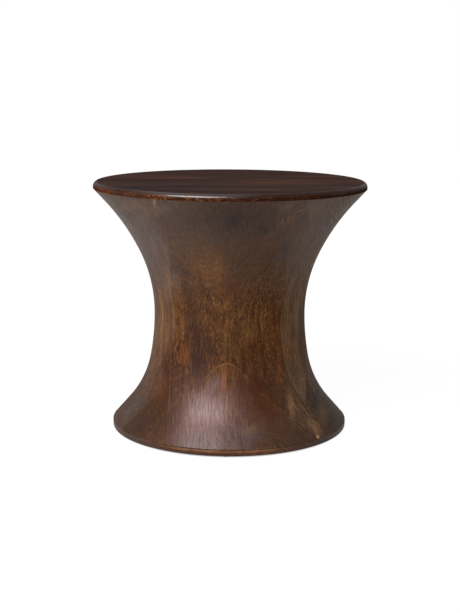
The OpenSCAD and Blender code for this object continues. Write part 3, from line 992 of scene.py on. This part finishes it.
# The screws
# Eight zinc plated countersunk screws are driven up through the base boards into the
# block. Each has a cross recess in its head and a thread that ends in a gimlet tip.
screw_low, screw_high = 3.5 * mm, 38.5 * mm
screw_head_r, screw_r = 4.5 * mm, 2.25 * mm
screw_tip = screw_high - 2 * screw_r
thread_low = 8 * mm
thread_pitch, thread_deep = 1.8 * mm, 0.55 * mm
thread_rows, tip_rows = 110, 8
thread_h = screw_tip - thread_low
screw_outline = [
    (0, screw_low),
    (screw_head_r - 0.3 * mm, screw_low),
    (screw_head_r, screw_low + 0.25 * mm),
    (screw_r, screw_low + screw_head_r - screw_r),
    (screw_r, thread_low - 0.3 * mm),
]
screw_outline += [(screw_r, thread_low + thread_h * i / thread_rows) for i in range(thread_rows + 1)]
screw_outline += [
    (screw_r * (1 - i / tip_rows), screw_tip + 2 * screw_r * i / tip_rows) for i in range(1, tip_rows)
]
screw_outline += [(0, screw_high)]
recess_w, recess_reach, recess_deep = 0.55 * mm, 2.4 * mm, 2.1 * mm
arm = [(recess_reach, -recess_w), (recess_reach, recess_w), (recess_w, recess_w)]
cross = []
for _ in range(4):
    cross += arm
    arm = [(-y, x) for x, y in arm]
cross_n = len(cross)
cross_points = [(x, y, screw_low - 1 * mm) for x, y in cross]
cross_points += [(x * 0.5, y * 0.5, screw_low + recess_deep) for x, y in cross]
cross_faces = [(i, (i + 1) % cross_n, cross_n + (i + 1) % cross_n, cross_n + i) for i in range(cross_n)]
cross_faces += [tuple(reversed(range(cross_n))), tuple(range(cross_n, 2 * cross_n))]
cross_recess = stood("cross recess", mesh_of("cross recess", cross_points, cross_faces))

zinc, tree, paint = new_finish("zinc plated steel")
spot = object_spot(tree)
crystals = node(tree, "ShaderNodeTexVoronoi", {"Vector": spot, "Scale": 900}).outputs["Distance"]
bloom = noise(tree, spot, 300, 3)
tone = plus(tree, times(tree, crystals, 0.4), times(tree, bloom, 0.8))
tree.links.new(blended(tree, tone, (0.42, 0.4, 0.35, 1), (0.68, 0.66, 0.6, 1)), paint["Base Color"])
tree.links.new(fit(tree, bloom, 0.3, 0.7, 0.28, 0.48), paint["Roughness"])
bumped(tree, crystals, 0.1, 0.05 * mm)
paint["Metallic"].default_value = 1
screw_shape = {
    "Steps Round": 24,
    "Thread Pitch": thread_pitch,
    "Thread Depth": thread_deep,
    "Shaped From": thread_low - 0.1 * mm,
    "Shaped To": screw_tip + 0.1 * mm,
    "Recess": cross_recess,
}
screws = set_of_fixings("base_screws_zinc", screw_outline, fixing_places, zinc, **screw_shape)
finish_piece(screws, "base_screws")
for tool in (dowel_holes, screw_holes, block_holes, cross_recess):
    bpy.data.objects.remove(tool)

# The floor pads
# Six self-adhesive felt discs under the rim of the base keep it off the floor. Their
# lower edges are rounded with wear.
pad_r, pad_t, pad_ring = 15 * mm, 3 * mm, 191 * mm
pad_round = 0.8 * mm
pad_angles = [math.radians(a) for a in range(-90, 270, 60)]
pad_places = [(pad_ring * math.cos(a), pad_ring * math.sin(a)) for a in pad_angles]
pad_outline = (
    [(0, 0), (pad_r * 0.6, 0)]
    + rounding((pad_r - pad_round, pad_round), pad_round, -math.pi / 2, 0)
    + [(pad_r, pad_t), (pad_r * 0.6, pad_t), (0, pad_t)]
)
felt, tree, paint = new_finish("pressed felt")
spot = object_spot(tree)
hairs = noise(tree, spot, 1400, 4, 0.7, 2.5)
tufts = noise(tree, spot, 250, 3)
tone = fit(tree, plus(tree, times(tree, hairs, 0.7), times(tree, tufts, 0.4)), 0.35, 0.75)
tree.links.new(blended(tree, tone, srgb(38, 34, 31), srgb(84, 77, 70)), paint["Base Color"])
bumped(tree, hairs, 0.8, 0.4 * mm)
paint["Roughness"].default_value = 0.95
paint["Sheen Weight"].default_value = 0.3
paint["Sheen Roughness"].default_value = 0.6
paint["Specular IOR Level"].default_value = 0.1
pads = set_of_fixings("floor_pads_felt", pad_outline, pad_places, felt)
finish_piece(pads, "floor_pads")


# The room
# A plain pale floor and a white surround under soft lamps. The camera stands where
# the photograph was taken.
def seen_straight(tree):
    """1 where the eye or a gloss meets a thing, and 0 where the thing only lights others."""
    path = node(tree, "ShaderNodeLightPath").outputs
    direct = math_of(tree, "MAXIMUM", path["Is Camera Ray"], path["Is Glossy Ray"])
    return math_of(tree, "MAXIMUM", direct, path["Is Transmission Ray"])


floor_half = 9
floor_corners = [(x * floor_half, y * floor_half, 0) for x, y in ((-1, -1), (1, -1), (1, 1), (-1, 1))]
floor = stood("floor", mesh_of("floor", floor_corners, [(0, 1, 2, 3)]))
pale = bpy.data.materials.new("pale floor")
pale.use_nodes = True
tree = pale.node_tree
tree.nodes.clear()
matt = node(tree, "ShaderNodeBsdfDiffuse", {"Color": (0.05, 0.05, 0.05, 1)}).outputs[0]
from_middle = vector_of(tree, "LENGTH", object_spot(tree))
strength = fit(tree, from_middle, 0.5, 2.0, 0.965, 0.995)
# Painted shadow: the floor's glow is taken away under the base, so the floor under the stool shows dark.
strength = times(tree, strength, fit(tree, from_middle, base_r - 16 * mm, base_r - 5 * mm))
glow = node(tree, "ShaderNodeEmission", {"Color": (1, 1, 1, 1), "Strength": strength}).outputs[0]
seen = node(tree, "ShaderNodeAddShader", {0: matt, 1: glow}).outputs[0]
bounce = node(tree, "ShaderNodeBsdfDiffuse", {"Color": (0.6, 0.6, 0.6, 1)}).outputs[0]
mixed = node(tree, "ShaderNodeMixShader", {0: seen_straight(tree), 1: bounce, 2: seen}).outputs[0]
tree.links.new(mixed, node(tree, "ShaderNodeOutputMaterial").inputs["Surface"])
floor.data.materials.append(pale)

world = bpy.data.worlds.new("studio")
bpy.context.scene.world = world
world.use_nodes = True
tree = world.node_tree
tree.nodes.clear()
strength = fit(tree, seen_straight(tree), 0, 1, 0.3, 1.0)
sky = node(tree, "ShaderNodeBackground", {"Color": (1, 1, 1, 1), "Strength": strength}).outputs[0]
tree.links.new(sky, node(tree, "ShaderNodeOutputWorld").inputs["Surface"])


def softbox(name, place, aim, width, height, watts):
    lamp = bpy.data.lights.new(name, "AREA")
    lamp.shape = "RECTANGLE"
    lamp.size = width
    lamp.size_y = height
    lamp.energy = watts
    stand = stood(name, lamp)
    stand.location = place
    stand.rotation_euler = (Vector(aim) - Vector(place)).to_track_quat("-Z", "Y").to_euler()


stool_middle = (0, 0, 0.25)
softbox("key softbox", (-0.93, -1.54, 1.93), stool_middle, 1.5, 1.15, 108)
softbox("left softbox", (-2.1, 0.1, 0.45), stool_middle, 1.2, 0.6, 13)
softbox("right softbox", (2.0, 0.3, 0.5), stool_middle, 0.8, 0.8, 6)

camera_data = bpy.data.cameras.new("camera")
camera_data.sensor_fit = "VERTICAL"
camera_data.sensor_height = 36
camera_data.lens = 75.14
camera = stood("camera", camera_data)
camera.location = (0.0648, -2.3211, 0.6717)
turn = Matrix.Rotation(math.radians(1.582), 4, "Z")
pitch = Matrix.Rotation(math.radians(90 - 10.911), 4, "X")
roll = Matrix.Rotation(math.radians(0.29), 4, "Z")
camera.rotation_euler = (turn @ pitch @ roll).to_euler()
bpy.context.scene.camera = camera
bpy.context.scene.view_settings.view_transform = "Standard"
